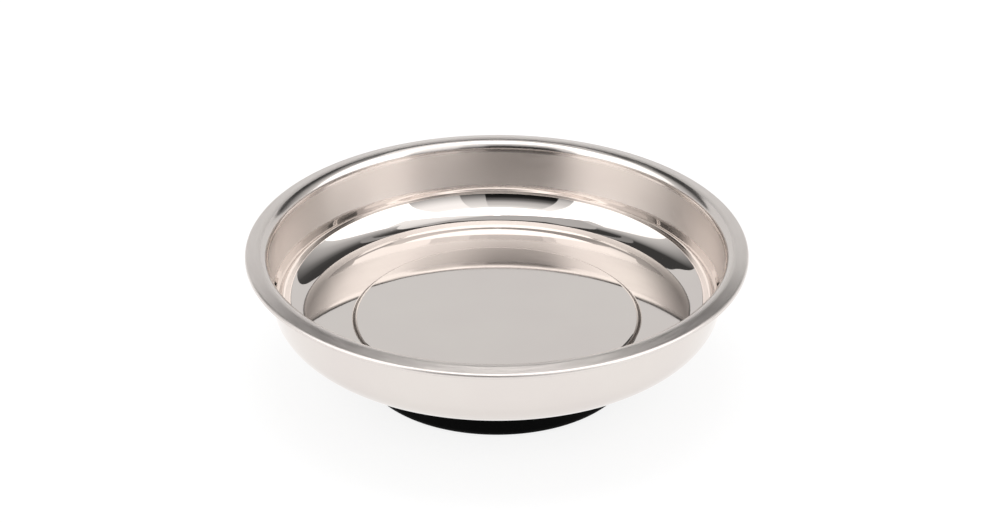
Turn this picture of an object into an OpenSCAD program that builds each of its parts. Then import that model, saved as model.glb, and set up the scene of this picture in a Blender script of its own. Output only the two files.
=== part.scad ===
// Magnetic parts tray: a drawn stainless-steel dish that stands on a rubber-booted ring magnet.
// Millimetres, +Z up. The origin is the middle of the face that the tray stands on.

/* [Dish] */
// Diameter over the edge of the rim
rim_d = 150; // [126:1:200]
// Width of the rim's flange, from the mouth to the outer edge
rim_w = 6.9; // [5:0.1:10]
// Fall of the flange towards its outer edge, in degrees
rim_fall = 16; // [0:1:20]
// Inside radius of the bend between the wall and the flange
rim_bend = 2.2; // [0.5:0.1:3]
// Height of the upright collar between the wall's curve and the rim's bend
collar_h = 0.3; // [0.1:0.1:3]
// Length of the turned-down hem at the rim's edge
hem_h = 0.7; // [0.2:0.1:2]
// Depth of the bowl, from the top of the rim to the floor
bowl_depth = 24.2; // [20:0.2:40]
// Lean of the wall's lower end, in degrees: the wall curves from there to upright at the mouth
wall_taper = 13; // [8:0.5:25]
// Inside radius where the wall turns into the floor
corner_r = 10; // [4:0.5:14]
// Thickness of the dish's sheet
sheet_t = 0.7; // [0.5:0.05:1.2]
// Height that the middle of the floor is raised to clear the base
disc_rise = 1.2; // [0.8:0.1:2]

/* [Magnet base] */
// Outer diameter of the rubber boot
boot_d = 81; // [66:1:90]
// Thickness of the boot's side wall
boot_wall = 2.2; // [1.5:0.1:4]
// Thickness of rubber under the magnet
boot_floor = 2; // [1.6:0.1:4]
// Inward reach of the boot's lip over the top of the magnet
boot_lip = 4.5; // [3:0.5:8]
// Radius of the boot's lower outer edge
boot_edge_r = 2; // [0.5:0.1:3]
// Height of the ferrite ring magnet
magnet_h = 15; // [13:0.5:20]
// Bore of the ring magnet
magnet_bore = 32; // [24:1:40]
// Thickness of the foam pad between the magnet and the dish
pad_t = 1.2; // [1:0.1:3]

/* [Clamp and fasteners] */
// Thickness of the pressed clamp cup
cup_t = 1.2; // [0.8:0.1:1.5]
// Width of the cup's flange that bears on the magnet
cup_flange_w = 3.7; // [2.5:0.1:6]
// Height of the stud's end above the ground
stud_recess = 1.6; // [1:0.1:2.5]
// Diameter of the weld stud's shank
stud_d = 6; // [5:1:8]
// Diameter of the weld stud's flange
stud_flange_d = 16; // [14:1:20]
// Thickness of the weld stud's flange
stud_flange_t = 1; // [0.8:0.1:1.5]
// Stud that shows past the nut
stud_tail = 1.2; // [0.5:0.1:1.5]
// Width of the nut across its flats
nut_af = 10; // [10:0.5:13]
// Height of the nut
nut_h = 5; // [4:0.1:5.5]
// Outer diameter of the flat washer
washer_d = 12; // [12:0.5:16]
// Thickness of the flat washer
washer_t = 1.6; // [1:0.1:1.6]
// Outer diameter of the split lock washer
lock_d = 11.8; // [10:0.1:13]
// Thickness of the split lock washer
lock_t = 1.6; // [1:0.1:1.6]
// Width of the lock washer's split
lock_gap = 1; // [0.6:0.1:1.5]

/* [Clearances] */
// Gap all round between a rubber or foam piece and the ring magnet
soft_fit = 0.3; // [0.1:0.05:0.5]
// Gap between the boot and the start of the raised disc's step
recess_fit = 1.1; // [0.5:0.1:3]
// Gap all round between the clamp cup and the holes that it passes through
cup_fit = 0.3; // [0.1:0.05:0.5]
// Gap all round between the stud and the plain holes on it
stud_hole_fit = 0.3; // [0.1:0.05:0.5]
// Gap all round between the stud and the nut's thread, drawn as a plain bore
thread_fit = 0.05; // [0.02:0.01:0.1]

/* [Hidden] */
$fn = 96;
// Turn between two points of a profile's arc, in degrees
arc_step = 7.5;
// How far a cutter runs past the face that it leaves by
overrun = 1;

// Inside radii of the sheet's small bends
step_bend = 0.8;
edge_bend = 0.3;
cup_bend = 1;
// Height of the short straight stretch between the wall's curve and the corner
wall_straight_h = 0.5;

// Heights, from the ground up
magnet_z = boot_floor;
magnet_top = magnet_z + magnet_h;
disc_under = magnet_top + pad_t;
disc_top = disc_under + sheet_t;
floor_top = disc_top - disc_rise;
rim_top = floor_top + bowl_depth;

// Radii of the base, with the eased edges of its sintered and moulded pieces
magnet_ease = 0.6;
boot_r = boot_d / 2;
boot_in_r = boot_r - boot_wall;
magnet_r = boot_in_r - soft_fit;
bore_r = magnet_bore / 2;
boot_hole_r = bore_r + cup_flange_w + cup_fit;
lip_r = magnet_r - boot_lip;
pad_out_r = lip_r - soft_fit;
pad_in_r = bore_r + magnet_ease;
boot_lip_edge_r = pad_t / 2;
boot_hole_edge_r = 0.6;

// Clamp cup and the stack of fasteners inside it
cup_out_r = bore_r - cup_fit;
cup_in_r = cup_out_r - cup_t;
cup_flange_r = bore_r + cup_flange_w;
cup_z = magnet_z - cup_t;
nut_z = stud_recess + stud_tail;
lock_z = nut_z + nut_h;
washer_z = lock_z + lock_t;
cup_seat = washer_z + washer_t;
stud_r = stud_d / 2;
stud_chamfer = 0.7;
lock_slant = 35;
stud_hole_r = stud_r + stud_hole_fit;
nut_corner_r = nut_af / 2 / cos(30);
nut_face_r = 0.95 * nut_af / 2;
nut_chamfer_h = (nut_corner_r - nut_face_r) * tan(30);

// Step of the raised disc: two equal bends, one up and one down
step_run_r = 2 * step_bend + sheet_t;
step_angle = acos(1 - disc_rise / step_run_r);
step_in_r = boot_r + recess_fit;
step_out_r = step_in_r + step_run_r * sin(step_angle);

// Wall and rim, worked from the mouth inwards and outwards
mouth_r = rim_d / 2 - rim_w;
rim_outer_bend = rim_bend + sheet_t;
rim_bend_r = mouth_r + rim_outer_bend;
rim_bend_z = rim_top - rim_outer_bend;
edge_outer_bend = edge_bend + sheet_t;
edge_r = rim_d / 2 - edge_outer_bend;
edge_z = rim_bend_z + (rim_outer_bend - edge_outer_bend) / cos(rim_fall)
         - (edge_r - rim_bend_r) * tan(rim_fall);
collar_z = rim_bend_z - collar_h;
corner_z = floor_top + corner_r;
wall_low_z = corner_z - corner_r * sin(wall_taper);
wall_curve_r = (collar_z - wall_low_z - wall_straight_h) / sin(wall_taper);
wall_top_r = mouth_r - wall_curve_r * (1 - cos(wall_taper));
wall_low_r = wall_top_r - wall_straight_h * tan(wall_taper);
corner_c_r = wall_low_r - corner_r * cos(wall_taper);

// Points of an arc about [cx, cz], from angle a0 to angle a1
function arc(cx, cz, r, a0, a1) =
    let (steps = max(1, ceil(abs(a1 - a0) / arc_step)))
    [for (i = [0 : steps])
        let (a = a0 + (a1 - a0) * i / steps)
        [cx + r * cos(a), cz + r * sin(a)]];

function reversed(points) = [for (i = [len(points) - 1 : -1 : 0]) points[i]];

// One face of the dish's sheet, from the middle to the hem, "depth" below its upper face
function dish_face(depth) = concat(
    [[0, disc_top - depth]],
    arc(step_in_r, disc_under - step_bend, step_bend + sheet_t - depth, 90, 90 - step_angle),
    arc(step_out_r, floor_top + step_bend, step_bend + depth, 270 - step_angle, 270),
    arc(corner_c_r, corner_z, corner_r + depth, -90, -wall_taper),
    arc(mouth_r - wall_curve_r, collar_z, wall_curve_r + depth, -wall_taper, 0),
    arc(rim_bend_r, rim_bend_z, rim_outer_bend - depth, 180, 90),
    arc(rim_bend_r, rim_bend_z, rim_outer_bend - depth, 90 - rim_fall / 2, 90 - rim_fall),
    arc(edge_r, edge_z, edge_outer_bend - depth, 90 - rim_fall, 0),
    [[edge_r + edge_outer_bend - depth, edge_z - hem_h]]
);

// Plain ring standing on its own base plane
module ring(outer_r, inner_r, height) {
    difference() {
        cylinder(r = outer_r, h = height);
        translate([0, 0, -overrun])
            cylinder(r = inner_r, h = height + 2 * overrun);
    }
}

// Drawn and polished sheet, in one piece from the raised disc to the hem
module dish() {
    color("gainsboro")
        rotate_extrude($fn = 180)
            polygon(concat(dish_face(0), reversed(dish_face(sheet_t))));
}

// Headed stud, welded by its flange to the underside of the raised disc
module weld_stud() {
    color("silver")
        rotate_extrude()
            polygon([
                [0, disc_under],
                [stud_flange_d / 2, disc_under],
                [stud_flange_d / 2, disc_under - stud_flange_t],
                [stud_r, disc_under - stud_flange_t],
                [stud_r, stud_recess + stud_chamfer],
                [stud_r - stud_chamfer, stud_recess],
                [0, stud_recess]
            ]);
}

// Foam ring that beds the magnet against the dish, inside the boot's lip
module seat_pad() {
    color("dimgray")
        translate([0, 0, magnet_top])
            ring(pad_out_r, pad_in_r, pad_t);
}

// Sintered ferrite ring with its sharp edges eased
module ring_magnet() {
    color("darkslategray")
        rotate_extrude()
            polygon([
                [bore_r, magnet_z + magnet_ease],
                [bore_r + magnet_ease, magnet_z],
                [magnet_r - magnet_ease, magnet_z],
                [magnet_r, magnet_z + magnet_ease],
                [magnet_r, magnet_top - magnet_ease],
                [magnet_r - magnet_ease, magnet_top],
                [bore_r + magnet_ease, magnet_top],
                [bore_r, magnet_top - magnet_ease]
            ]);
}

// Pressed steel cup that hangs the magnet from the stud and keeps the nut off the ground
module clamp_cup() {
    color("lightsteelblue")
        rotate_extrude()
            polygon(concat(
                [[stud_hole_r, cup_seat]],
                arc(cup_in_r - cup_bend, cup_seat - cup_bend, cup_bend, 90, 0),
                arc(cup_in_r + cup_bend, cup_z + cup_bend, cup_bend, 180, 270),
                [[cup_flange_r, cup_z], [cup_flange_r, magnet_z], [cup_out_r, magnet_z]],
                arc(cup_in_r - cup_bend, cup_seat - cup_bend, cup_bend + cup_t, 0, 90),
                [[stud_hole_r, cup_seat + cup_t]]
            ));
}

module flat_washer() {
    color("silver")
        translate([0, 0, washer_z])
            ring(washer_d / 2, stud_hole_r, washer_t);
}

// Spring washer with its slanting split
module lock_washer() {
    color("darkgray")
        translate([0, 0, lock_z])
            difference() {
                ring(lock_d / 2, stud_r + thread_fit, lock_t);
                translate([lock_d / 2, 0, lock_t / 2])
                    rotate([lock_slant, 0, 0])
                        cube([lock_d, lock_gap, 4 * lock_t], center = true);
            }
}

// Hexagon nut, chamfered on both faces
module hex_nut() {
    color("silver")
        translate([0, 0, nut_z])
            difference() {
                intersection() {
                    cylinder(r = nut_corner_r, h = nut_h, $fn = 6);
                    rotate_extrude()
                        polygon([
                            [0, 0],
                            [nut_face_r, 0],
                            [nut_corner_r, nut_chamfer_h],
                            [nut_corner_r, nut_h - nut_chamfer_h],
                            [nut_face_r, nut_h],
                            [0, nut_h]
                        ]);
                }
                translate([0, 0, -overrun])
                    cylinder(r = stud_r + thread_fit, h = nut_h + 2 * overrun);
            }
}

// Moulded boot that wraps the magnet's rim: floor ring, side wall and top lip
module rubber_boot() {
    color("black")
        rotate_extrude()
            polygon(concat(
                arc(boot_r - boot_edge_r, boot_edge_r, boot_edge_r, 270, 360),
                arc(boot_r - boot_lip_edge_r, disc_under - boot_lip_edge_r, boot_lip_edge_r, 0, 90),
                [[lip_r, disc_under], [lip_r, magnet_top]],
                [[boot_in_r, magnet_top], [boot_in_r, boot_floor]],
                [[boot_hole_r, boot_floor]],
                arc(boot_hole_r + boot_hole_edge_r, boot_hole_edge_r, boot_hole_edge_r, 180, 270)
            ));
}

dish();
weld_stud();
seat_pad();
ring_magnet();
clamp_cup();
flat_washer();
lock_washer();
hex_nut();
rubber_boot();
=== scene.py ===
"""Visual model of a round magnetic parts tray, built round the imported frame.

A drawn stainless dish stands on a rubber-booted ring magnet, which a pressed cup, a nut
and two washers hold to a stud under the dish. Everything is in metres, Z up.
"""

import logging
import math
from abc import ABC, abstractmethod
from collections.abc import Callable, Sequence
from dataclasses import dataclass, field, replace
from enum import Enum

import bpy
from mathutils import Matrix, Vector


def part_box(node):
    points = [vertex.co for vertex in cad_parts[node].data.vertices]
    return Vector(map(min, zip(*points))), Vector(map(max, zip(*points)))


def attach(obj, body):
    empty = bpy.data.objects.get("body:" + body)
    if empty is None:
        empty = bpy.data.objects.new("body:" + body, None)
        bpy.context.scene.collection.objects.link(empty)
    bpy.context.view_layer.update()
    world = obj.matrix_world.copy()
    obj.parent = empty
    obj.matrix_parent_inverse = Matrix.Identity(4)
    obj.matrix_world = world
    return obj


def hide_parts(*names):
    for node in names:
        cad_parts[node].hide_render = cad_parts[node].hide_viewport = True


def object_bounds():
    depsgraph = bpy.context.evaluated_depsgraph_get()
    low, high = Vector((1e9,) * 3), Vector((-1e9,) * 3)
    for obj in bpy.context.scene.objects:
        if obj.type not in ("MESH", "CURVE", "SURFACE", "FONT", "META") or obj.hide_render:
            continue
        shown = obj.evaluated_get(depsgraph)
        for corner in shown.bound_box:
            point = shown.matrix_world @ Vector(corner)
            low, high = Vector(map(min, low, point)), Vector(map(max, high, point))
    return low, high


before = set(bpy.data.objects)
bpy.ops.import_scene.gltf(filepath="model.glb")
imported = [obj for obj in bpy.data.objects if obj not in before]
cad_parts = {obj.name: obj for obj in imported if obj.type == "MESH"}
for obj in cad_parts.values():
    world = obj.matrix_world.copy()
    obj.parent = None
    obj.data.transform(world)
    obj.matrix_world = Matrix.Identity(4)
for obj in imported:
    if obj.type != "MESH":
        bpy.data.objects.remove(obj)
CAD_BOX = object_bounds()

LOG = logging.getLogger("parts_tray")
MM = 0.001
# Keeps the dish's edge inside the CAD box after rounding.
HAIR = 0.002 * MM
FULL_TURN = 2 * math.pi


class Ray(Enum):
    """Kinds of ray that a studio card answers to, by the name of the object's switch."""

    CAMERA = "visible_camera"
    DIFFUSE = "visible_diffuse"
    GLOSSY = "visible_glossy"
    SHADOW = "visible_shadow"
    TRANSMISSION = "visible_transmission"


class Cell(Enum):
    """Solid patterns that a finish can lay over a piece."""

    CLOUD = "ShaderNodeTexNoise"
    GRAIN = "ShaderNodeTexVoronoi"


# --------------------------------------------------------------------------------------
# Turned shapes


@dataclass(frozen=True)
class Corner:
    """A corner of a turned section, in metres from the axis and above the ground."""

    r: float
    z: float
    bend: float = 0.0

    @property
    def point(self) -> Vector:
        """The corner as a point of the section."""
        return Vector((self.r, self.z))


@dataclass(frozen=True)
class Station:
    """A point of a rounded section with its own outward normal."""

    point: Vector
    normal: Vector
    satin: float = 0.0


def left_of(direction: Vector) -> Vector:
    """The unit vector to the left of a direction in the section's plane."""
    return Vector((-direction.y, direction.x)).normalized()


def turned(vector: Vector, angle: float) -> Vector:
    """A vector of the section's plane, turned to the left by an angle in radians."""
    c = math.cos(angle)
    s = math.sin(angle)
    return Vector((c * vector.x - s * vector.y, s * vector.x + c * vector.y))


def turn_between(before: Vector, after: Vector) -> float:
    """The left turn from one direction to the next, in radians."""
    return math.atan2(before.x * after.y - before.y * after.x, before.dot(after))


@dataclass(frozen=True)
class Section:
    """The section of a turned piece, walked with the material on the right.

    An open section starts and ends on the axis. Every corner may have a bend, which
    becomes an arc with true normals, so that polished metal reflects without facets.
    """

    corners: tuple[Corner, ...]
    closed: bool = True
    arc_step: float = math.radians(5)
    arc_length: float = 0.7 * MM

    def offset(self, depth: float) -> list[Corner]:
        """The open section moved into the material by a depth.

        Args:
            depth: how far to move, in metres.

        Returns:
            The moved corners, with each bend larger or smaller by the same depth.
        """
        moved = []
        for i, corner in enumerate(self.corners):
            before, after = self.directions(i)
            normal_in = left_of(before)
            normal_out = left_of(after)
            shift = (normal_in + normal_out) / (1 + normal_in.dot(normal_out))
            point = corner.point - depth * shift
            side = math.copysign(1, turn_between(before, after))
            bend = corner.bend + side * depth if corner.bend else 0.0
            moved.append(Corner(point.x, point.y, bend))
        return moved

    def directions(self, i: int) -> tuple[Vector, Vector]:
        """Directions into and out of a corner.

        Args:
            i: the corner's place in the section.

        Returns:
            Two unit vectors, equal at the ends of an open section.
        """
        here = self.corners[i].point
        last = len(self.corners) - 1
        before = self.corners[i - 1].point if self.closed or i else None
        after = self.corners[(i + 1) % (last + 1)].point if self.closed or i < last else None
        into = (here - before).normalized() if before else (after - here).normalized()
        out_of = (after - here).normalized() if after else into
        return into, out_of

    def stations(self) -> list[Station]:
        """The rounded section.

        Returns:
            Points with normals, in walking order.
        """
        made = []
        for i, corner in enumerate(self.corners):
            into, out_of = self.directions(i)
            turn = turn_between(into, out_of)
            side = math.copysign(1, turn)
            normal = left_of(into)
            start = corner.point - into * corner.bend * math.tan(abs(turn) / 2)
            centre = start + side * corner.bend * normal
            if not corner.bend:
                made.append(Station(corner.point, (normal + left_of(out_of)).normalized()))
                continue
            by_angle = math.ceil(abs(turn) / self.arc_step)
            by_length = math.ceil(abs(turn) * corner.bend / self.arc_length)
            steps = max(1, by_angle, by_length)
            for k in range(steps + 1):
                facing = turned(normal, turn * k / steps)
                made.append(Station(centre - side * corner.bend * facing, facing))
        return made

    def mesh(
        self, name: str, segments: int = 384, worked: Callable[[Station], Station] | None = None
    ) -> bpy.types.Mesh:
        """Turns the section about the Z axis.

        Args:
            name: the mesh's name.
            segments: faces round the axis.
            worked: where set, gives each station its finish.

        Returns:
            A closed mesh with true normals and its finish written at every point.
        """
        stations = [worked(station) if worked else station for station in self.stations()]
        spun = spin(stations, [FULL_TURN * k / segments for k in range(segments)], self.closed)
        return spun.mesh(name)


@dataclass
class Shell:
    """Points, faces, normals and finish of a mesh in the making."""

    points: list[Vector] = field(default_factory=list)
    normals: list[Vector] = field(default_factory=list)
    satin: list[float] = field(default_factory=list)
    faces: list[tuple[int, ...]] = field(default_factory=list)

    def add(self, point: Vector, normal: Vector, satin: float = 0.0) -> int:
        """Adds a point and returns its number."""
        self.points.append(point)
        self.normals.append(normal)
        self.satin.append(satin)
        return len(self.points) - 1

    def mesh(self, name: str, smooth_to: float | None = None) -> bpy.types.Mesh:
        """Makes the Blender mesh.

        Args:
            name: the mesh's name.
            smooth_to: where set, edges sharper than this angle stay sharp and the
                normals given are left out.

        Returns:
            The mesh, shaded smooth.
        """
        mesh = bpy.data.meshes.new(name)
        mesh.from_pydata(self.points, [], self.faces)
        mesh.validate()
        mesh.shade_smooth()
        finish = mesh.attributes.new("satin", "FLOAT", "POINT")
        finish.data.foreach_set("value", self.satin)
        if smooth_to is None:
            mesh.normals_split_custom_set_from_vertices(self.normals)
        else:
            mesh.set_sharp_from_angle(angle=smooth_to)
        mesh.update()
        return mesh


def spin(stations: Sequence[Station], angles: Sequence[float], closed: bool) -> Shell:
    """Spins a section through a full turn.

    Args:
        stations: the section's points.
        angles: where each copy of the section stands, in radians.
        closed: whether the last station joins the first.

    Returns:
        The shell, with a single point wherever the section meets the axis.
    """
    shell = Shell()
    rings: list[list[int]] = []
    for station in stations:
        on_axis = station.point.x < 1e-7
        places = [0.0] if on_axis else angles
        ring = []
        for angle in places:
            c = math.cos(angle)
            s = math.sin(angle)
            point = Vector((c * station.point.x, s * station.point.x, station.point.y))
            normal = Vector((c * station.normal.x, s * station.normal.x, station.normal.y))
            ring.append(shell.add(point, normal, station.satin))
        rings.append(ring)
    pairs = list(zip(rings, rings[1:] + rings[:1])) if closed else list(zip(rings, rings[1:]))
    for inner, outer in pairs:
        for j in range(len(angles)):
            after = (j + 1) % len(angles)
            if len(inner) == 1:
                shell.faces.append((inner[0], outer[j], outer[after]))
            elif len(outer) == 1:
                shell.faces.append((inner[j], outer[0], inner[after]))
            else:
                shell.faces.append((inner[j], outer[j], outer[after], inner[after]))
    return shell


# --------------------------------------------------------------------------------------
# Finishes


def linear(colour: str) -> tuple[float, float, float, float]:
    """An sRGB hex colour as linear values.

    Args:
        colour: six hex digits after a hash sign.

    Returns:
        Red, green, blue and an alpha of 1.
    """
    parts = [int(colour[i : i + 2], 16) / 255 for i in (1, 3, 5)]
    made = [p / 12.92 if p <= 0.04045 else ((p + 0.055) / 1.055) ** 2.4 for p in parts]
    return (*made, 1.0)


def add_node(
    tree: bpy.types.NodeTree,
    kind: str,
    inputs: dict[str | int, object] | None = None,
    **settings: object,
) -> bpy.types.Node:
    """Adds one node with its settings and links.

    Args:
        tree: the node tree.
        kind: the node's type.
        inputs: for each input by name or number, an output to link or a plain value.
        settings: the node's own properties.

    Returns:
        The node.
    """
    node = tree.nodes.new(kind)
    for name, value in settings.items():
        setattr(node, name, value)
    for name, value in (inputs or {}).items():
        if isinstance(value, bpy.types.NodeSocket):
            tree.links.new(value, node.inputs[name])
        else:
            node.inputs[name].default_value = value
    return node


@dataclass(frozen=True)
class Finish(ABC):
    """A material with its main colour, a second colour that clouds it, and its gloss."""

    name: str
    colour: str
    clouded: str
    roughness: tuple[float, float]
    metallic: float = 0.0

    def material(self) -> bpy.types.Material:
        """Makes the material.

        Returns:
            A node material with one shader, which the layers have dressed.
        """
        made = bpy.data.materials.new(self.name)
        made.use_nodes = True
        tree = made.node_tree
        tree.nodes.clear()
        shader = add_node(tree, "ShaderNodeBsdfPrincipled", {"Metallic": self.metallic})
        add_node(tree, "ShaderNodeOutputMaterial", {"Surface": shader.outputs["BSDF"]})
        self.layers(tree, shader)
        return made

    @abstractmethod
    def layers(self, tree: bpy.types.NodeTree, shader: bpy.types.Node) -> None:
        """Lays colour, gloss and relief over the shader.

        Args:
            tree: the material's nodes.
            shader: the shader that they end in.
        """

    def pattern(
        self,
        tree: bpy.types.NodeTree,
        cell: Cell,
        size: float,
        detail: float = 2.0,
        vector: bpy.types.NodeSocket | None = None,
    ) -> bpy.types.NodeSocket:
        """A solid pattern in the piece's own coordinates.

        Args:
            tree: the material's nodes.
            cell: the kind of pattern.
            size: the size of one cell, in metres, or 1 where the vector is scaled.
            detail: finer copies of the pattern, for a cloud.
            vector: coordinates, where they aren't the piece's own.

        Returns:
            The pattern's value, from 0 to 1.
        """
        if vector is None:
            vector = add_node(tree, "ShaderNodeTexCoord").outputs["Object"]
        inputs: dict[str | int, object] = {"Vector": vector, "Scale": 1 / size}
        if cell is Cell.CLOUD:
            inputs["Detail"] = detail
            return add_node(tree, cell.value, inputs).outputs["Fac"]
        return add_node(tree, cell.value, inputs).outputs["Distance"]

    def along_the_turning(
        self, tree: bpy.types.NodeTree, spacing: float, around: float
    ) -> bpy.types.NodeSocket:
        """Coordinates of marks that run round the axis.

        Args:
            tree: the material's nodes.
            spacing: distance from one mark to the next, in metres.
            around: about how many times a mark changes in a radian.

        Returns:
            A vector that changes quickly across the marks and slowly along them.
        """
        coords = add_node(tree, "ShaderNodeTexCoord").outputs["Object"]
        flat = add_node(
            tree, "ShaderNodeVectorMath", {0: coords, 1: (1.0, 1.0, 0.0)}, operation="MULTIPLY"
        ).outputs["Vector"]
        radius = add_node(tree, "ShaderNodeVectorMath", {0: flat}, operation="LENGTH").outputs["Value"]
        height = add_node(tree, "ShaderNodeSeparateXYZ", {0: coords}).outputs["Z"]
        across = add_node(tree, "ShaderNodeMath", {0: radius, 1: height}, operation="ADD").outputs[0]
        marks = add_node(tree, "ShaderNodeMath", {0: across, 1: 1 / spacing}, operation="MULTIPLY")
        side = add_node(tree, "ShaderNodeVectorMath", {0: flat}, operation="NORMALIZE").outputs["Vector"]
        slow = add_node(
            tree, "ShaderNodeVectorMath", {0: side, "Scale": around}, operation="SCALE"
        ).outputs["Vector"]
        lift = add_node(tree, "ShaderNodeCombineXYZ", {"Z": marks.outputs[0]}).outputs["Vector"]
        return add_node(tree, "ShaderNodeVectorMath", {0: slow, 1: lift}, operation="ADD").outputs["Vector"]

    def between(
        self, tree: bpy.types.NodeTree, value: bpy.types.NodeSocket, low: object, high: object
    ) -> bpy.types.NodeSocket:
        """A number that goes from low to high as a pattern goes from 0.3 to 0.7.

        Args:
            tree: the material's nodes.
            value: the pattern.
            low: a number or an output.
            high: a number or an output.

        Returns:
            The number's output.
        """
        inputs = {"Value": value, "From Min": 0.3, "From Max": 0.7, "To Min": low, "To Max": high}
        return add_node(tree, "ShaderNodeMapRange", inputs).outputs["Result"]

    def tinted(
        self, tree: bpy.types.NodeTree, shader: bpy.types.Node, value: bpy.types.NodeSocket
    ) -> None:
        """Clouds the shader's colour by a pattern.

        Args:
            tree: the material's nodes.
            shader: the shader whose colour it is.
            value: the pattern, from 0 for the main colour to 1 for the second.
        """
        inputs: dict[str | int, object] = {0: value, 6: linear(self.colour), 7: linear(self.clouded)}
        mixed = add_node(tree, "ShaderNodeMix", inputs, data_type="RGBA")
        tree.links.new(mixed.outputs[2], shader.inputs["Base Color"])

    def relief(
        self,
        tree: bpy.types.NodeTree,
        shader: bpy.types.Node,
        height: bpy.types.NodeSocket,
        depth: float,
        under: bpy.types.NodeSocket | None = None,
    ) -> bpy.types.NodeSocket:
        """Raises the surface by a pattern.

        Args:
            tree: the material's nodes.
            shader: the shader whose normal it is.
            height: the pattern.
            depth: the height of its full range, in metres.
            under: the normal of a relief below this one.

        Returns:
            The new normal.
        """
        inputs: dict[str | int, object] = {"Height": height, "Distance": depth, "Strength": 1.0}
        if under is not None:
            inputs["Normal"] = under
        bump = add_node(tree, "ShaderNodeBump", inputs).outputs["Normal"]
        tree.links.new(bump, shader.inputs["Normal"])
        return bump


@dataclass(frozen=True)
class PolishedStainless(Finish):
    """Stainless sheet, mirror polished, with a satin band where the mesh says so."""

    satin_roughness: tuple[float, float] = (0.30, 0.38)
    brushing: float = 0.55

    def layers(self, tree: bpy.types.NodeTree, shader: bpy.types.Node) -> None:
        """Lays mirror and satin zones over the sheet.

        Args:
            tree: the material's nodes.
            shader: the shader that they end in.
        """
        satin = add_node(tree, "ShaderNodeAttribute", attribute_name="satin").outputs["Fac"]
        # A belt's scratches are about 0.02 mm apart; 0.5 mm is the finest that shows.
        rings = self.pattern(tree, Cell.CLOUD, 1.0, 3.0, self.along_the_turning(tree, 0.5 * MM, 9.0))
        # Buffing leaves haze in patches of a few centimetres.
        haze = self.pattern(tree, Cell.CLOUD, 30 * MM, 3.0)
        mirror = self.between(tree, haze, *self.roughness)
        brushed = self.between(tree, rings, *self.satin_roughness)
        inputs = {"Value": satin, "To Min": mirror, "To Max": brushed}
        gloss = add_node(tree, "ShaderNodeMapRange", inputs)
        tree.links.new(gloss.outputs["Result"], shader.inputs["Roughness"])
        self.tinted(tree, shader, self.between(tree, haze, 0.0, 1.0))
        # Drawing leaves the sheet very slightly wavy, which bends its reflections.
        wave = self.relief(tree, shader, self.pattern(tree, Cell.CLOUD, 14 * MM, 1.0), 0.012 * MM)
        scratch = add_node(tree, "ShaderNodeMath", {0: rings, 1: satin}, operation="MULTIPLY")
        self.relief(tree, shader, scratch.outputs[0], 0.006 * MM, wave)
        shader.inputs["Anisotropic"].default_value = self.brushing
        # Scratches run round the axis, so highlights stretch across them.
        shader.inputs["Anisotropic Rotation"].default_value = 0.25
        around = add_node(tree, "ShaderNodeTangent", direction_type="RADIAL", axis="Z")
        tree.links.new(around.outputs["Tangent"], shader.inputs["Tangent"])


@dataclass(frozen=True)
class PlatedSteel(Finish):
    """Steel with a thin plated coat, lightly mottled."""

    mottle: float = 1.4 * MM

    def layers(self, tree: bpy.types.NodeTree, shader: bpy.types.Node) -> None:
        """Lays a mottled, slightly orange-peeled coat over the steel.

        Args:
            tree: the material's nodes.
            shader: the shader that they end in.
        """
        cloud = self.pattern(tree, Cell.CLOUD, self.mottle, 4.0)
        self.tinted(tree, shader, self.between(tree, cloud, 0.0, 1.0))
        tree.links.new(self.between(tree, cloud, *self.roughness), shader.inputs["Roughness"])
        self.relief(tree, shader, self.pattern(tree, Cell.CLOUD, 0.4 * MM), 0.01 * MM)


@dataclass(frozen=True)
class TurnedSteel(Finish):
    """Bare steel with the fine rings that a cutting tool leaves."""

    feed: float = 0.25 * MM

    def layers(self, tree: bpy.types.NodeTree, shader: bpy.types.Node) -> None:
        """Lays turning marks over the steel.

        Args:
            tree: the material's nodes.
            shader: the shader that they end in.
        """
        rings = self.pattern(tree, Cell.CLOUD, 1.0, 2.0, self.along_the_turning(tree, self.feed, 3.0))
        self.tinted(tree, shader, self.between(tree, rings, 0.0, 1.0))
        tree.links.new(self.between(tree, rings, *self.roughness), shader.inputs["Roughness"])
        self.relief(tree, shader, rings, 0.01 * MM)


@dataclass(frozen=True)
class SinteredFerrite(Finish):
    """Pressed and fired ferrite powder, dull and fine-grained."""

    grain: float = 0.5 * MM

    def layers(self, tree: bpy.types.NodeTree, shader: bpy.types.Node) -> None:
        """Lays grain and cloudy firing marks over the ferrite.

        Args:
            tree: the material's nodes.
            shader: the shader that they end in.
        """
        cloud = self.pattern(tree, Cell.CLOUD, 6 * MM, 4.0)
        self.tinted(tree, shader, self.between(tree, cloud, 0.0, 1.0))
        tree.links.new(self.between(tree, cloud, *self.roughness), shader.inputs["Roughness"])
        self.relief(tree, shader, self.pattern(tree, Cell.GRAIN, self.grain), 0.04 * MM)


@dataclass(frozen=True)
class ClosedCellFoam(Finish):
    """Cut foam sheet, soft and full of small cells."""

    cell: float = 0.6 * MM

    def layers(self, tree: bpy.types.NodeTree, shader: bpy.types.Node) -> None:
        """Lays open cells over the cut foam, each darkest at its low middle as painted shade in the pit.

        Args:
            tree: the material's nodes.
            shader: the shader that they end in.
        """
        cells = self.pattern(tree, Cell.GRAIN, self.cell)
        # The colour follows the relief: darkest where each cell dips lowest, painted shade in the pits.
        self.tinted(tree, shader, cells)
        tree.links.new(self.between(tree, cells, *self.roughness), shader.inputs["Roughness"])
        self.relief(tree, shader, cells, 0.12 * MM)


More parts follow.
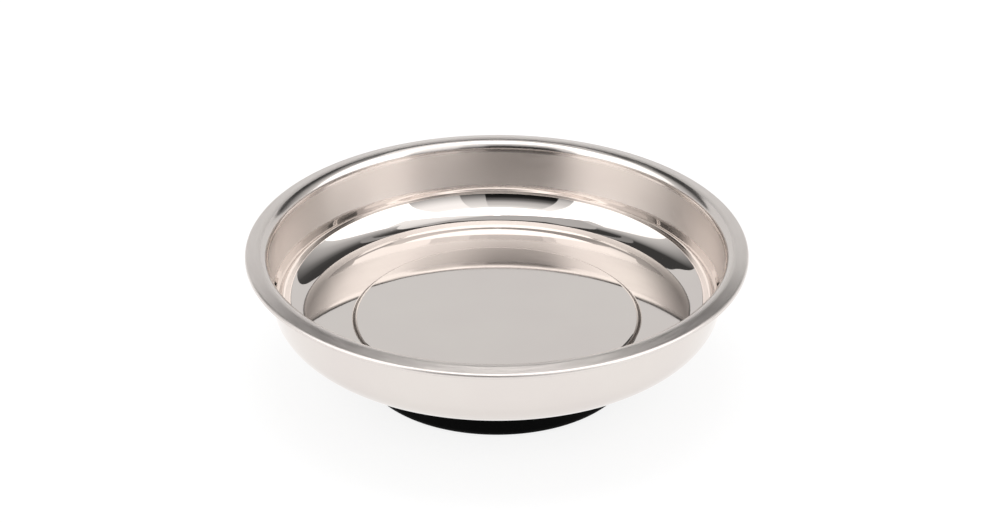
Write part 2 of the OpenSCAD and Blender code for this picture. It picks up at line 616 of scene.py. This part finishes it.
@dataclass(frozen=True)
class MouldedRubber(Finish):
    """Compression-moulded rubber with the fine bloom of a blasted mould."""

    grain: float = 0.35 * MM

    def layers(self, tree: bpy.types.NodeTree, shader: bpy.types.Node) -> None:
        """Lays a fine matt grain and scuffed patches over the rubber.

        Args:
            tree: the material's nodes.
            shader: the shader that they end in.
        """
        scuff = self.pattern(tree, Cell.CLOUD, 9 * MM, 6.0)
        self.tinted(tree, shader, self.between(tree, scuff, 0.0, 1.0))
        tree.links.new(self.between(tree, scuff, *self.roughness), shader.inputs["Roughness"])
        self.relief(tree, shader, self.pattern(tree, Cell.CLOUD, self.grain, 3.0), 0.03 * MM)
        # Carbon-black rubber throws back less light than a smooth plastic would.
        shader.inputs["Specular IOR Level"].default_value = 0.04


# Drawn 304 stainless sheet, buffed to a mirror with a belted satin band: a warm light
# grey that takes its look from what it reflects, softened where the belt went.
STAINLESS = PolishedStainless(
    name="drawn_polished_stainless_steel",
    colour="#DBD5D0",
    clouded="#D8D1CD",
    roughness=(0.02, 0.05),
    metallic=1.0,
)
# Bright zinc over mild steel: cool grey with a milky mottle.
ZINC = PlatedSteel(
    name="zinc_plated_pressed_steel",
    colour="#BFC4C8",
    clouded="#A9AEB4",
    roughness=(0.22, 0.40),
    metallic=1.0,
)
# Hardened and plated spring steel: darker and more even than zinc.
SPRING = PlatedSteel(
    name="plated_spring_steel",
    colour="#8E8F90",
    clouded="#7B7C80",
    roughness=(0.30, 0.42),
    metallic=1.0,
    mottle=0.9 * MM,
)
# Bright free-cutting steel, turned and rolled: silver rings that catch the light.
STUD_STEEL = TurnedSteel(
    name="turned_bright_steel",
    colour="#C2BFB9",
    clouded="#ABA8A2",
    roughness=(0.20, 0.34),
    metallic=1.0,
)
# Sintered strontium ferrite, ground on its faces: dull charcoal with a stony grain.
FERRITE = SinteredFerrite(
    name="sintered_ferrite",
    colour="#333335",
    clouded="#292A2D",
    roughness=(0.52, 0.68),
)
# Closed-cell neoprene foam, die cut: black and light-swallowing, pitted at its cut edge, with painted shade
# darkening each pit.
FOAM = ClosedCellFoam(
    name="closed_cell_neoprene_foam",
    colour="#161617",
    clouded="#262627",
    roughness=(0.85, 0.97),
)
# Compression-moulded nitrile rubber: near-black and matt, a shade greyer where scuffed.
RUBBER = MouldedRubber(
    name="moulded_nitrile_rubber",
    colour="#030303",
    clouded="#060606",
    roughness=(0.50, 0.66),
)


# --------------------------------------------------------------------------------------
# Sub-assemblies


def set_in_place(
    mesh: bpy.types.Mesh, node: str, finish: Finish
) -> bpy.types.Object:
    """Puts a finished mesh where its CAD node stands.

    Args:
        mesh: the piece's mesh, in the frame's own coordinates.
        node: the CAD node that it stands for.
        finish: what it is made of.

    Returns:
        The piece.
    """
    piece = bpy.data.objects.new(mesh.name, mesh)
    bpy.context.scene.collection.objects.link(piece)
    mesh.materials.append(finish.material())
    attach(piece, "root")
    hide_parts(node)
    return piece


@dataclass
class Dish:
    """The drawn sheet, in one piece from the raised disc to the rolled rim."""

    sheet: float = 0.7 * MM
    bowl_depth: float = 24.2 * MM
    disc_rise: float = 1.2 * MM
    step_start: float = 41.6 * MM
    step_bend: float = 0.8 * MM
    corner_bend: float = 10 * MM
    wall_taper: float = math.radians(13)
    wall_straight: float = 0.5 * MM
    mouth_inset: float = 6.9 * MM
    collar: float = 0.3 * MM
    rim_bend: float = 2.2 * MM
    rim_fall: float = math.radians(16)
    edge_bend: float = 0.3 * MM
    hem: float = 0.7 * MM
    hem_ease: float = 0.3 * MM
    satin_from: float = 9.0 * MM
    satin_fade: float = 1.0 * MM
    rim_satin: float = 0.4

    def upper_face(self) -> Section:
        """The upper face, from the middle of the raised disc to the end of the hem.

        Returns:
            An open section.
        """
        low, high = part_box("dish")
        floor = high.z - self.bowl_depth
        disc = floor + self.disc_rise
        run = 2 * self.step_bend + self.sheet
        slope = math.acos(1 - self.disc_rise / run)
        top_bend = self.step_bend + self.sheet
        step_end = self.step_start + run * math.sin(slope)
        rim_bend = self.rim_bend + self.sheet
        edge_bend = self.edge_bend + self.sheet
        edge = high.x - HAIR
        mouth = high.x - self.mouth_inset
        collar_low = high.z - rim_bend - self.collar
        corner_top = floor + self.corner_bend * (1 - math.sin(self.wall_taper))
        curve = (collar_low - corner_top - self.wall_straight) / math.sin(self.wall_taper)
        curve_z = collar_low - curve * math.tan(self.wall_taper / 2)
        wall_foot = mouth - (curve_z - floor) * math.tan(self.wall_taper)
        rim_z = high.z - rim_bend + rim_bend * math.tan((math.pi / 2 + self.rim_fall) / 2)
        edge_z = rim_z - (edge - mouth) * math.tan(self.rim_fall)
        hem_z = edge_z - edge_bend * math.tan((math.pi / 2 - self.rim_fall) / 2) - self.hem
        return Section(
            (
                Corner(0, disc),
                Corner(self.step_start + top_bend * math.tan(slope / 2), disc, top_bend),
                Corner(step_end - self.step_bend * math.tan(slope / 2), floor, self.step_bend),
                Corner(wall_foot, floor, self.corner_bend),
                Corner(mouth, curve_z, curve),
                Corner(mouth, rim_z, rim_bend),
                Corner(edge, edge_z, edge_bend),
                Corner(edge, hem_z),
            ),
            closed=False,
        )

    def belted(self, station: Station) -> Station:
        """Makes the upper wall, the rim's bend and the flange satin, and leaves the rest mirror.

        Args:
            station: a station of either face.

        Returns:
            The station with its finish.
        """
        low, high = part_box("dish")
        mouth = high.x - self.mouth_inset
        start = high.z - self.bowl_depth + self.satin_from
        share = min(max((station.point.y - start) / self.satin_fade, 0.0), 1.0)
        if station.normal.y < 0:
            return replace(station, satin=0.0)
        if 0 < station.point.x - mouth < self.rim_bend:
            return replace(station, satin=self.rim_satin)
        return replace(station, satin=share)

    def build(self) -> list[bpy.types.Object]:
        """Turns the sheet and finishes it.

        Returns:
            The one piece.
        """
        upper = self.upper_face()
        lower = upper.offset(self.sheet)
        end = upper.corners[-1]
        section = Section(
            (
                *upper.corners[:-1],
                Corner(end.r, end.z, self.hem_ease),
                Corner(end.r - self.sheet, end.z, self.hem_ease),
                *reversed(lower[:-1]),
            ),
            closed=False,
        )
        mesh = section.mesh("polished_dish", worked=self.belted)
        return [set_in_place(mesh, "dish", STAINLESS)]


@dataclass
class MagnetBase:
    """The ring magnet in its rubber boot, with the foam ring that beds it."""

    boot_wall: float = 2.2 * MM
    boot_floor: float = 2.0 * MM
    boot_lip: float = 1.2 * MM
    lip_reach: float = 4.8 * MM
    boot_hole: float = 20.0 * MM
    foot_ease: float = 2.0 * MM
    lip_ease: float = 0.6 * MM
    magnet_bore: float = 16.0 * MM
    magnet_ease: float = 0.6 * MM
    pad_bore: float = 16.6 * MM
    small_ease: float = 0.15 * MM

    def build(self) -> list[bpy.types.Object]:
        """Makes the boot, the magnet and the pad.

        Returns:
            The three pieces.
        """
        return [self.boot(), self.magnet(), self.pad()]

    def boot(self) -> bpy.types.Object:
        """Moulds the boot as one ring with a floor, a wall and a lip."""
        low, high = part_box("rubber_boot")
        inner = high.x - self.boot_wall
        lip_z = high.z - self.boot_lip
        floor_z = low.z + self.boot_floor
        ease = self.small_ease
        section = Section(
            (
                Corner(inner - self.lip_reach, high.z, ease),
                Corner(high.x, high.z, self.lip_ease),
                Corner(high.x, low.z, self.foot_ease),
                Corner(self.boot_hole, low.z, self.lip_ease),
                Corner(self.boot_hole, floor_z, ease),
                Corner(inner, floor_z, ease),
                Corner(inner, lip_z, ease),
                Corner(inner - self.lip_reach, lip_z, ease),
            )
        )
        mesh = section.mesh("moulded_boot", 256)
        return set_in_place(mesh, "rubber_boot", RUBBER)

    def magnet(self) -> bpy.types.Object:
        """Presses the ring magnet with chamfered edges."""
        low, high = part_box("ring_magnet")
        flat = self.magnet_ease
        ease = self.small_ease
        section = Section(
            (
                Corner(self.magnet_bore + flat, high.z, ease),
                Corner(high.x - flat, high.z, ease),
                Corner(high.x, high.z - flat, ease),
                Corner(high.x, low.z + flat, ease),
                Corner(high.x - flat, low.z, ease),
                Corner(self.magnet_bore + flat, low.z, ease),
                Corner(self.magnet_bore, low.z + flat, ease),
                Corner(self.magnet_bore, high.z - flat, ease),
            )
        )
        mesh = section.mesh("sintered_magnet", 192)
        return set_in_place(mesh, "ring_magnet", FERRITE)

    def pad(self) -> bpy.types.Object:
        """Cuts the foam ring."""
        low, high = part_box("seat_pad")
        ease = self.small_ease
        section = Section(
            (
                Corner(self.pad_bore, high.z, ease),
                Corner(high.x, high.z, ease),
                Corner(high.x, low.z, ease),
                Corner(self.pad_bore, low.z, ease),
            )
        )
        mesh = section.mesh("bedding_pad", 192)
        return set_in_place(mesh, "seat_pad", FOAM)


@dataclass
class ClampStack:
    """The stud under the dish and what is screwed to it."""

    stud_r: float = 3.0 * MM
    stud_chamfer: float = 0.7 * MM
    flange_t: float = 1.0 * MM
    pitch: float = 1.0 * MM
    thread_depth: float = 0.55 * MM
    cup_t: float = 1.2 * MM
    cup_bore: float = 15.7 * MM
    cup_bend: float = 1.0 * MM
    plain_hole: float = 3.3 * MM
    tight_hole: float = 3.05 * MM
    small_ease: float = 0.15 * MM
    lock_gap: float = 1.0 * MM
    lock_slant: float = math.radians(35)
    nut_face: float = 0.95
    nut_slope: float = math.radians(30)

    def build(self) -> list[bpy.types.Object]:
        """Makes the stud, the cup, both washers and the nut.

        Returns:
            The five pieces.
        """
        return [self.stud(), self.cup(), self.flat_washer(), self.lock_washer(), self.nut()]

    def stud(self) -> bpy.types.Object:
        """Rolls a thread on the stud and leaves its welding flange plain.

        Returns:
            The piece.
        """
        low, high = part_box("weld_stud")
        per_turn = 12
        around = 96
        neck = high.z - self.flange_t
        rise = self.pitch / per_turn
        count = int((neck - low.z) / rise)
        shell = Shell()
        rings = []
        middle = shell.add(Vector((0, 0, low.z)), Vector((0, 0, -1)))
        for i in range(count + 1):
            z = min(low.z + i * rise, neck)
            ring = []
            for j in range(around):
                share = (z / self.pitch - j / around) % 1
                groove = self.thread_depth * max(0.0, 1 - abs(share - 0.5) / 0.44)
                radius = self.stud_r - groove
                radius = min(radius, self.stud_r - self.stud_chamfer + (z - low.z))
                angle = FULL_TURN * j / around
                point = Vector((radius * math.cos(angle), radius * math.sin(angle), z))
                ring.append(shell.add(point, point.normalized()))
            rings.append(ring)
        for radius, z in ((high.x - self.small_ease, neck), (high.x, neck + self.small_ease), (high.x, high.z)):
            ring = []
            for j in range(around):
                angle = FULL_TURN * j / around
                point = Vector((radius * math.cos(angle), radius * math.sin(angle), z))
                ring.append(shell.add(point, point.normalized()))
            rings.append(ring)
        top = shell.add(Vector((0, 0, high.z)), Vector((0, 0, 1)))
        for j in range(around):
            after = (j + 1) % around
            shell.faces.append((middle, rings[0][after], rings[0][j]))
            shell.faces.append((top, rings[-1][j], rings[-1][after]))
            for lower, upper in zip(rings, rings[1:]):
                shell.faces.append((lower[j], lower[after], upper[after], upper[j]))
        mesh = shell.mesh("threaded_stud", math.radians(42))
        return set_in_place(mesh, "weld_stud", STUD_STEEL)

    def cup(self) -> bpy.types.Object:
        """Presses the cup with a flange below and a seat for the nut above."""
        low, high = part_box("clamp_cup")
        outer = self.cup_bore
        inner = outer - self.cup_t
        ease = self.small_ease
        tight = self.cup_bend
        wide = self.cup_bend + self.cup_t
        seat = high.z - self.cup_t
        section = Section(
            (
                Corner(self.plain_hole, high.z, ease),
                Corner(outer, high.z, wide),
                Corner(outer, low.z + self.cup_t, ease),
                Corner(high.x, low.z + self.cup_t, ease),
                Corner(high.x, low.z, 2 * ease),
                Corner(inner, low.z, tight),
                Corner(inner, seat, tight),
                Corner(self.plain_hole, seat, ease),
            )
        )
        mesh = section.mesh("pressed_cup", 192)
        return set_in_place(mesh, "clamp_cup", ZINC)

    def flat_washer(self) -> bpy.types.Object:
        """Stamps the flat washer with eased edges, the outer lower one rounded most."""
        low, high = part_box("flat_washer")
        ease = self.small_ease
        section = Section(
            (
                Corner(self.plain_hole, high.z, ease),
                Corner(high.x, high.z, ease),
                Corner(high.x, low.z, 2 * ease),
                Corner(self.plain_hole, low.z, ease),
            )
        )
        mesh = section.mesh("stamped_washer", 128)
        return set_in_place(mesh, "flat_washer", ZINC)

    def lock_washer(self) -> bpy.types.Object:
        """Cuts the split washer as a flat ring, with its two ends cut on the slant.

        Returns:
            The piece.
        """
        low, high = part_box("lock_washer")
        ease = self.small_ease
        outer = -low.x
        section = Section(
            (
                Corner(self.tight_hole, high.z, ease),
                Corner(outer, high.z, ease),
                Corner(outer, low.z, ease),
                Corner(self.tight_hole, low.z, ease),
            )
        )
        stations = section.stations()
        middle = (low.z + high.z) / 2
        half = self.lock_gap / 2 / math.cos(self.lock_slant)
        steps = 96
        shell = Shell()
        rows = []
        for station in stations:
            r = station.point.x
            z = station.point.y
            lean = (z - middle) * math.tan(self.lock_slant)
            start = math.asin((half - lean) / r)
            end = FULL_TURN - math.asin((half + lean) / r)
            row = []
            for j in range(steps + 1):
                angle = start + (end - start) * j / steps
                point = Vector((r * math.cos(angle), r * math.sin(angle), z))
                row.append(shell.add(point, point.normalized()))
            rows.append(row)
        for lower, upper in zip(rows, rows[1:] + rows[:1]):
            for j in range(steps):
                shell.faces.append((lower[j], upper[j], upper[j + 1], lower[j + 1]))
        shell.faces.append(tuple(row[0] for row in reversed(rows)))
        shell.faces.append(tuple(row[-1] for row in rows))
        mesh = shell.mesh("split_washer", math.radians(40))
        return set_in_place(mesh, "lock_washer", SPRING)

    def nut(self) -> bpy.types.Object:
        """Forges the hexagon nut, chamfered and countersunk on both faces.

        Returns:
            The piece.
        """
        low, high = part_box("hex_nut")
        flat = high.y
        face = self.nut_face * flat
        bore = self.tight_hole
        sink = 0.35 * MM
        around = 144
        slope = math.tan(self.nut_slope)

        def hexagon(angle: float) -> float:
            """Radius of the hexagon at an angle, with its corners on the X axis."""
            side = (angle % (math.pi / 3)) - math.pi / 6
            return flat / math.cos(side)

        shell = Shell()
        rows: list[list[int]] = [[] for _ in range(8)]
        for j in range(around):
            angle = FULL_TURN * j / around
            reach = min(hexagon(angle), high.x - 0.04 * MM)
            drop = (reach - face) * slope
            outline = (
                (bore, high.z - sink),
                (bore + sink, high.z),
                (face, high.z),
                (reach, high.z - drop),
                (reach, low.z + drop),
                (face, low.z),
                (bore + sink, low.z),
                (bore, low.z + sink),
            )
            for row, (r, z) in zip(rows, outline):
                point = Vector((r * math.cos(angle), r * math.sin(angle), z))
                row.append(shell.add(point, point.normalized()))
        for inner, outer in zip(rows, rows[1:] + rows[:1]):
            for j in range(around):
                after = (j + 1) % around
                shell.faces.append((inner[j], outer[j], outer[after], inner[after]))
        mesh = shell.mesh("forged_nut", math.radians(24))
        return set_in_place(mesh, "hex_nut", ZINC)


# --------------------------------------------------------------------------------------
# Studio


class Fade(Enum):
    """Which way a card's glow changes."""

    ACROSS = "from its first bearing to its second"
    UPWARD = "from its lower edge to its upper edge"


@dataclass(frozen=True)
class Card:
    """A curved card that only shows in reflections, by its bearing from the tray.

    Bearings are in degrees: 0 is towards the camera, 90 to its right and 180 behind
    the tray. Heights are in degrees above the horizon. An arch is a pair of powers,
    one for each side: the upper edge falls away from the middle with that power.
    """

    name: str
    bearing: tuple[float, float]
    height: tuple[float, float]
    glow: tuple[float, ...]
    fade: Fade = Fade.ACROSS
    distance: float = 1.1
    arch: tuple[float, float] | None = None
    shoulder: float = 0.0
    steps: int = 32

    def top(self, across: float) -> float:
        """Height of the upper edge, in degrees.

        Args:
            across: place on the card, from 0 at its first bearing to 1.

        Returns:
            The height, which an arch lowers towards the card's sides.
        """
        if self.arch is None:
            return self.height[1]
        side = 2 * across - 1
        power = self.arch[0] if side < 0 else self.arch[1]
        return self.shoulder + (self.height[1] - self.shoulder) * (1 - abs(side) ** power)

    def glow_at(self, share: float) -> float:
        """The glow at a share of the way along the fade."""
        place = share * (len(self.glow) - 1)
        low = min(int(place), max(0, len(self.glow) - 2))
        high = min(low + 1, len(self.glow) - 1)
        return self.glow[low] + (self.glow[high] - self.glow[low]) * (place - low)

    def build(self, centre: Vector) -> None:
        """Hangs the card.

        Args:
            centre: the tray's middle.
        """
        points = []
        glows = []
        faces = []
        for i in range(self.steps + 1):
            across = i / self.steps
            bearing = math.radians(self.bearing[0] + (self.bearing[1] - self.bearing[0]) * across)
            for k in range(self.steps + 1):
                up = k / self.steps
                height = math.radians(self.height[0] + (self.top(across) - self.height[0]) * up)
                level = math.cos(height)
                away = Vector((math.sin(bearing) * level, -math.cos(bearing) * level, math.sin(height)))
                points.append(centre + self.distance * away)
                glows.append(self.glow_at(across if self.fade is Fade.ACROSS else up))
        row = self.steps + 1
        for i in range(self.steps):
            for k in range(self.steps):
                first = i * row + k
                faces.append((first, first + 1, first + row + 1, first + row))
        mesh = bpy.data.meshes.new(self.name)
        mesh.from_pydata(points, [], faces)
        mesh.attributes.new("glow", "FLOAT", "POINT").data.foreach_set("value", glows)
        material = bpy.data.materials.new(self.name)
        material.use_nodes = True
        material.cycles.emission_sampling = "NONE"
        tree = material.node_tree
        tree.nodes.clear()
        strength = add_node(tree, "ShaderNodeAttribute", attribute_name="glow").outputs["Fac"]
        glow = add_node(tree, "ShaderNodeEmission", {"Strength": strength})
        add_node(tree, "ShaderNodeOutputMaterial", {"Surface": glow.outputs[0]})
        mesh.materials.append(material)
        card = bpy.data.objects.new(self.name, mesh)
        bpy.context.scene.collection.objects.link(card)
        for ray in Ray:
            setattr(card, ray.value, ray is Ray.GLOSSY)


@dataclass
class Studio:
    """Floor, background, lamps, cards and camera."""

    floor_half: float = 6.0
    ambient: float = 0.8
    lens: float = 180.16
    camera_distance: float = 1.5
    camera_height: float = math.radians(29.243)
    pivot: Vector = field(default_factory=lambda: Vector((0, 0, 20.75 * MM)))
    aim: Vector = field(default_factory=lambda: Vector((0.95 * MM, 0, 36.9 * MM)))
    cards: tuple[Card, ...] = (
        Card("paper_sweep", (130, 233), (-2, 41), (0.84,), distance=1.0, arch=(2, 6), shoulder=15),
        Card(
            "dark_surround",
            (100, 262),
            (12, 65),
            (0.9, 0.6, 0.45, 0.22, 0.08, 0.06, 0.06, 0.06, 0.06, 0.06, 0.06, 0.06, 0.06, 0.06, 0.35, 0.6, 0.8),
        ),
        Card("dark_header", (158, 203), (60, 70), (0.08,), distance=1.08),
        Card("light_slit", (119, 238), (54.5, 58), (0.4, 0.35, 0.3), distance=1.05),
        Card("ceiling_back", (140, 282), (65, 89), (0.6,)),
        Card("ceiling_right", (76, 140), (60, 89), (1.3, 1.2, 1.0)),
        Card("ceiling_front", (-78, 76), (60, 89), (2.6,)),
        Card("softbox_right", (46, 104), (8, 60), (2.0,)),
        Card("softbox_left", (262, 320), (8, 60), (1.6, 2.0, 2.0, 1.8)),
        Card("front_right", (19, 46), (0.5, 60), (0.1, 0.6, 0.9, 1.2, 1.4, 1.4, 1.5), Fade.UPWARD),
        Card("front_middle", (6, 19), (0.5, 60), (0.03, 0.15, 0.4, 0.7, 0.95, 1.1, 1.3), Fade.UPWARD),
        Card("front_dark", (-32, 6), (0.5, 60), (0.01, 0.01, 0.02, 0.2, 0.7, 0.85, 1.3), Fade.UPWARD),
        Card("front_left", (-41, -32), (0.5, 60), (0.1, 0.5, 0.8, 0.9, 1.1, 1.3, 1.4), Fade.UPWARD),
    )

    def build(self) -> None:
        """Sets up everything that isn't part of the tray."""
        self.floor()
        self.background()
        self.lamp()
        for card in self.cards:
            card.build(Vector((0, 0, CAD_BOX[1].z / 2)))
        self.camera()

    def floor(self) -> None:
        """Lays a plain white floor that keeps the tray's shadow and is clear from below."""
        half = self.floor_half
        mesh = bpy.data.meshes.new("floor")
        corners = [(-half, -half, 0), (half, -half, 0), (half, half, 0), (-half, half, 0)]
        mesh.from_pydata(corners, [], [(0, 1, 2, 3)])
        material = bpy.data.materials.new("white_studio_paper")
        material.use_nodes = True
        tree = material.node_tree
        tree.nodes.clear()
        path = add_node(tree, "ShaderNodeLightPath").outputs
        seen = add_node(
            tree, "ShaderNodeMath", {0: path["Is Camera Ray"], 1: path["Is Glossy Ray"]}, operation="MAXIMUM"
        ).outputs[0]
        paper = add_node(tree, "ShaderNodeBsdfDiffuse", {"Color": linear("#E8E8E8")}).outputs[0]
        shade = add_node(tree, "ShaderNodeBsdfDiffuse", {"Color": linear("#8C8C8C")}).outputs[0]
        strength = add_node(
            tree, "ShaderNodeMapRange", {"Value": path["Is Glossy Ray"], "To Min": 0.84, "To Max": 0.95}
        ).outputs["Result"]
        glow = add_node(tree, "ShaderNodeEmission", {"Strength": strength}).outputs[0]
        bright = add_node(tree, "ShaderNodeAddShader", {0: shade, 1: glow}).outputs[0]
        lit = add_node(tree, "ShaderNodeMixShader", {0: seen, 1: paper, 2: bright}).outputs[0]
        clear = add_node(tree, "ShaderNodeBsdfTransparent").outputs[0]
        below = add_node(tree, "ShaderNodeNewGeometry").outputs["Backfacing"]
        surface = add_node(tree, "ShaderNodeMixShader", {0: below, 1: lit, 2: clear}).outputs[0]
        add_node(tree, "ShaderNodeOutputMaterial", {"Surface": surface})
        mesh.materials.append(material)
        floor = bpy.data.objects.new("floor", mesh)
        bpy.context.scene.collection.objects.link(floor)

    def background(self) -> None:
        """Fills the world with white, a little dimmer where it only lights the tray."""
        world = bpy.data.worlds.new("white_room")
        bpy.context.scene.world = world
        world.use_nodes = True
        tree = world.node_tree
        tree.nodes.clear()
        path = add_node(tree, "ShaderNodeLightPath").outputs
        seen = add_node(
            tree, "ShaderNodeMath", {0: path["Is Camera Ray"], 1: path["Is Glossy Ray"]}, operation="MAXIMUM"
        ).outputs[0]
        strength = add_node(
            tree, "ShaderNodeMapRange", {"Value": seen, "To Min": self.ambient, "To Max": 1.0}
        ).outputs["Result"]
        sky = add_node(tree, "ShaderNodeBackground", {"Strength": strength}).outputs[0]
        add_node(tree, "ShaderNodeOutputWorld", {"Surface": sky})

    def lamp(self) -> None:
        """Hangs one soft lamp above the tray."""
        data = bpy.data.lights.new("overhead_softbox", "AREA")
        data.shape = "RECTANGLE"
        data.size = 0.7
        data.size_y = 0.5
        data.energy = 3.0
        lamp = bpy.data.objects.new("overhead_softbox", data)
        lamp.location = (0.0, 0.15, 1.2)
        bpy.context.scene.collection.objects.link(lamp)

    def camera(self) -> None:
        """Stands the camera in front of the tray and looks down at it."""
        data = bpy.data.cameras.new("camera")
        data.sensor_width = 36.0
        data.lens = self.lens
        camera = bpy.data.objects.new("camera", data)
        back = Vector((0, -math.cos(self.camera_height), math.sin(self.camera_height)))
        camera.location = self.pivot + self.camera_distance * back
        look = self.aim - camera.location
        camera.rotation_euler = look.to_track_quat("-Z", "Y").to_euler()
        bpy.context.scene.collection.objects.link(camera)
        bpy.context.scene.camera = camera


def main() -> None:
    """Builds the studio and then the tray, from the dish down."""
    logging.basicConfig(level=logging.INFO, format="%(name)s: %(message)s")
    bpy.context.scene.view_settings.view_transform = "Standard"
    Studio().build()
    for assembly in (Dish(), MagnetBase(), ClampStack()):
        for piece in assembly.build():
            LOG.info("%s: %s, %d faces", type(assembly).__name__, piece.name, len(piece.data.polygons))


if __name__ == "__main__":
    main()
